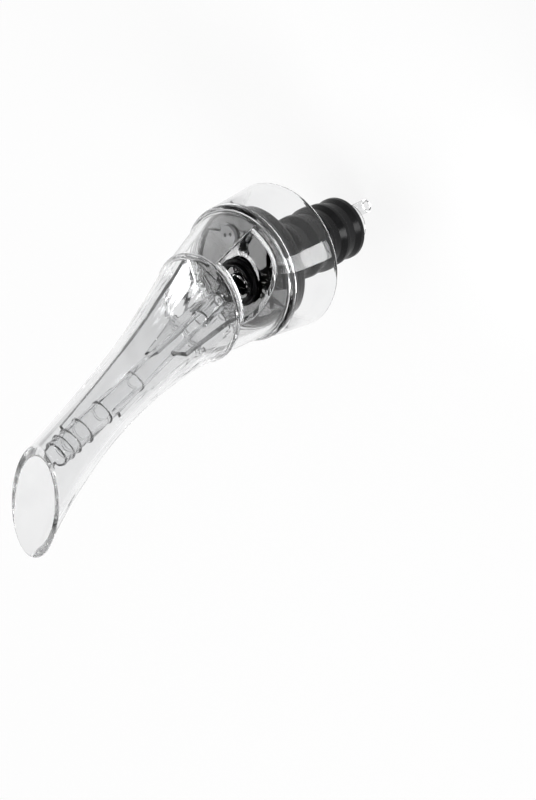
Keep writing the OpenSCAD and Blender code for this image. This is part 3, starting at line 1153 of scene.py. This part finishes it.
    def tube(self, name: str) -> bpy.types.Object:
        """The widening flow tube with its ring ridges.

        Args:
            name: the piece's name.

        Returns:
            The new object.
        """
        outside: List[Corner] = [(self.tube_r(0.0), 0.0, self.soft)]
        for ridge in self.ridges():
            for angle in between(-math.pi / 2, math.pi / 2, self.ridge_arc):
                outside.append((self.tube_r(ridge) + self.ridge_h * math.cos(angle),
                                ridge + self.ridge_h * math.sin(angle), 0.0))
        end = self.tube_len
        outside += [(self.tube_r(end), end, self.soft), (self.tube_r(end) - self.tube_wall, end, self.soft),
                    (self.tube_r(0.0) - self.tube_wall, 0.0, self.soft)]
        return turned(name, rounded(outside), self.tube_place, self.tube_columns)

    def root(self, along: float) -> float:
        """Distance of a vane's root from the tube's axis, clear of the tube and its ridges.

        Args:
            along: the distance from the tube's inlet.

        Returns:
            The root's distance there.
        """
        clear = self.ridge_h + self.seat_fit
        lift = [math.sqrt(clear ** 2 - (along - ridge) ** 2) for ridge in self.ridges()
                if abs(along - ridge) < clear]
        return self.tube_r(along) + max([self.seat_fit, *lift])

    def vane_outline(self, side: Matrix, length: float) -> List[Flat]:
        """The outline of one vane as (distance from the tube's axis, distance along it).

        Args:
            side: the turn of the vane about the tube.
            length: how far it runs along the tube.

        Returns:
            The points, from the inlet's corner out, along the spout's wall and back along the tube.
        """
        place = self.tube_place @ side
        inset = self.spout_wall + self.free_gap

        def height(across: float, along: float) -> float:
            """Height of a point of the vane in the part's frame."""
            return (place @ Vector((across, 0.0, along))).z

        def wall(along: float, near: float, reach: float) -> float:
            """Distance of the spout's wall from the tube's axis, sought within a reach of a guess."""
            low = max(self.root(along), near - reach)
            return settled(low, near + reach, lambda across: self.line.holds(
                place @ Vector((across, 0.0, along)), inset))

        reach = self.vane_reach
        ring = self.line.ring_z + self.seam
        step = settled(-reach, length, lambda along: height(reach, along) < ring)
        foot = (place @ Vector((0.0, 0.0, 1.0)) - place @ Vector((0.0, 0.0, 0.0))).z
        slope = (height(reach, 0.0) - height(0.0, 0.0)) / reach / foot
        outer = settled(reach, self.line.ring_d, lambda across: self.line.holds(
            place @ Vector((across, 0.0, step - slope * (across - reach) + self.seam)), inset))
        start = step - slope * (outer - reach)
        heel = self.seat_fit
        core = self.tube_r(0.0) + self.hub_wall / 2
        points = [(core, heel), (reach, heel), (reach, step), (outer, start)]
        across, before = outer, start
        for along in between(start + self.free_gap, length, self.vane_rows):
            across = wall(along, across, self.wall_slope * (along - before))
            before = along
            points.append((across, along))
        toe = self.hub_len + self.free_gap
        points += [(self.root(along), along) for along in between(length, toe, self.root_rows)]
        points.append((self.tube_r(self.hub_len) + self.hub_wall / 2, toe))
        return points

    def vanes(self, name: str) -> bpy.types.Object:
        """Four vanes on a hub, melted into one star.

        Args:
            name: the piece's name.

        Returns:
            The new object.
        """
        bore = [(self.tube_r(s) + self.seat_fit, s, self.soft) for s in (0.0, self.hub_len)]
        hub_r = bore[1][0] + self.hub_wall
        corners = [bore[0], (hub_r, 0.0, self.soft), (hub_r, self.hub_len, self.soft), bore[1]]
        parts = [turned(name, rounded(corners), self.tube_place, self.tube_columns)]
        lengths = (self.vane_back_len, self.vane_side_len, self.vane_front_len, self.vane_side_len)
        for quarter, length in enumerate(lengths):
            side = Matrix.Rotation(quarter * math.pi / 2, 4, "Z")
            solid = Solid()
            solid.slab(self.vane_outline(side, length), self.vane_t)
            solid.soften(self.soft, self.vane_crease)
            parts.append(solid.finish(f"{name}_{quarter}", self.tube_place @ side))
        return joined(parts)


@dataclass(frozen=True)
class Softbox:
    """A soft lamp: its place, the point that it faces, its width and height, and its brightness."""

    name: str
    place: Spot
    aim: Spot
    size: Flat
    glow: float


@dataclass
class Studio:
    """Camera, lights, surroundings and floor."""

    lamps: Tuple[Softbox, ...] = (
        Softbox("overhead", (0.0, 0.0, 1.4), (0.0, 0.0, 0.0), (1.0, 1.0), 4.0),
        Softbox("key", (-0.9, -0.9, 1.1), (0.0, 0.0, 0.0), (0.6, 0.6), 10.0),
        Softbox("back", (-0.28, 1.05, 1.06), (0.0, 0.0, 0.0), (0.5, 0.3), 6.0),
        Softbox("strip", (-0.004, -0.075, -0.035), (0.0, -0.019, 0.004), (0.030, 0.022), 14.0),
    )
    horizon: Flat = (0.17, 0.36)
    room: Colour = (0.05, 0.05, 0.05)
    # The grey round the horizon, which is also the floor's painted dim tone far from its pool of light.
    skyline: Colour = (0.42, 0.42, 0.42)
    # The middle of the floor's painted pool of light, in x and y.
    painted_light_pool: Flat = (-88 * MM, 112 * MM)
    azimuth: float = math.radians(19.44)
    elevation: float = math.radians(43.593)
    roll: float = math.radians(-117.031)
    distance: float = 0.7
    aim: Spot = (-34.712 * MM, -2.211 * MM, 9.945 * MM)
    lens: float = 117.537
    clip_start: float = 0.01
    floor_half: float = 6.0
    floor_gap: float = 0.5 * MM
    bounces: int = 160

    def level(self) -> Matrix:
        """The camera's turn before its roll."""
        return Matrix.Rotation(self.azimuth, 4, "Z") @ Matrix.Rotation(math.pi / 2 - self.elevation, 4, "X")

    def back(self) -> Vector:
        """The way from the part to the camera."""
        return self.level().to_3x3() @ Vector((0.0, 0.0, 1.0))

    def camera(self) -> None:
        """Places the camera at the photographed angle."""
        data = bpy.data.cameras.new("camera")
        data.lens = self.lens
        data.clip_start = self.clip_start
        eye = linked("camera", data)
        spot = Matrix.Translation(Vector(self.aim) + self.back() * self.distance)
        eye.matrix_world = spot @ self.level() @ Matrix.Rotation(self.roll, 4, "Z")
        bpy.context.scene.camera = eye

    def floor(self) -> None:
        """Lays the floor just under the part, whitest in a painted pool of light behind it."""
        half = self.floor_half
        level = CAD_BOX[0].z - self.floor_gap
        data = bpy.data.meshes.new("floor")
        corners = [(-half, -half, level), (half, -half, level), (half, half, level), (-half, half, level)]
        data.from_pydata(corners, [], [(0, 1, 2, 3)])
        data.materials.append(PaleFloor((*self.painted_light_pool, level), self.skyline).material())
        sheet = linked("floor", data)

    def lamp(self, lamp: Softbox) -> None:
        """Hangs one softbox, whose power follows from its brightness and its area.

        Args:
            lamp: the softbox.
        """
        data = bpy.data.lights.new(lamp.name, "AREA")
        data.shape = "RECTANGLE"
        data.size, data.size_y = lamp.size
        data.energy = math.pi * lamp.size[0] * lamp.size[1] * lamp.glow
        place = Vector(lamp.place)
        box = linked(lamp.name, data)
        box.location = place
        box.rotation_mode = "QUATERNION"
        box.rotation_quaternion = (Vector(lamp.aim) - place).to_track_quat("-Z", "Y")
        box.visible_camera = False

    def surroundings(self) -> None:
        """A room that is pale round the horizon and dim above it."""
        world = bpy.data.worlds.new("studio")
        world.use_nodes = True
        bpy.context.scene.world = world
        graph = Graph(world.node_tree)
        way = graph.add("ShaderNodeTexCoord", out="Generated")
        height = graph.add("ShaderNodeSeparateXYZ", sockets={0: way}, out="Z")
        tone = graph.mix(height.spread(*self.horizon), self.skyline, self.room)
        sky = graph.add("ShaderNodeBackground", sockets={"Color": tone, "Strength": 1.0})
        graph.add("ShaderNodeOutputWorld", sockets={"Surface": sky})

    def build(self) -> None:
        """Sets up the whole studio."""
        self.camera()
        self.floor()
        self.surroundings()
        for lamp in self.lamps:
            self.lamp(lamp)
        view = bpy.context.scene
        view.view_settings.view_transform = "Standard"
        view.cycles.max_bounces = self.bounces
        view.cycles.transmission_bounces = self.bounces
        view.cycles.glossy_bounces = self.bounces
        LOG.info("studio: camera, floor, surroundings and lamps")


def main() -> None:
    """Sets up the studio and builds the sub-assemblies in order."""
    logging.basicConfig(level=logging.INFO, format="%(name)s: %(message)s")
    Studio().build()
    palette = Palette()
    StopperBase().build(palette)
    StemUnit().build(palette)
    ClearHousing(SpoutLine(ring_z=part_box("air_chamber")[1].z)).build(palette)


if __name__ == "__main__":
    main()
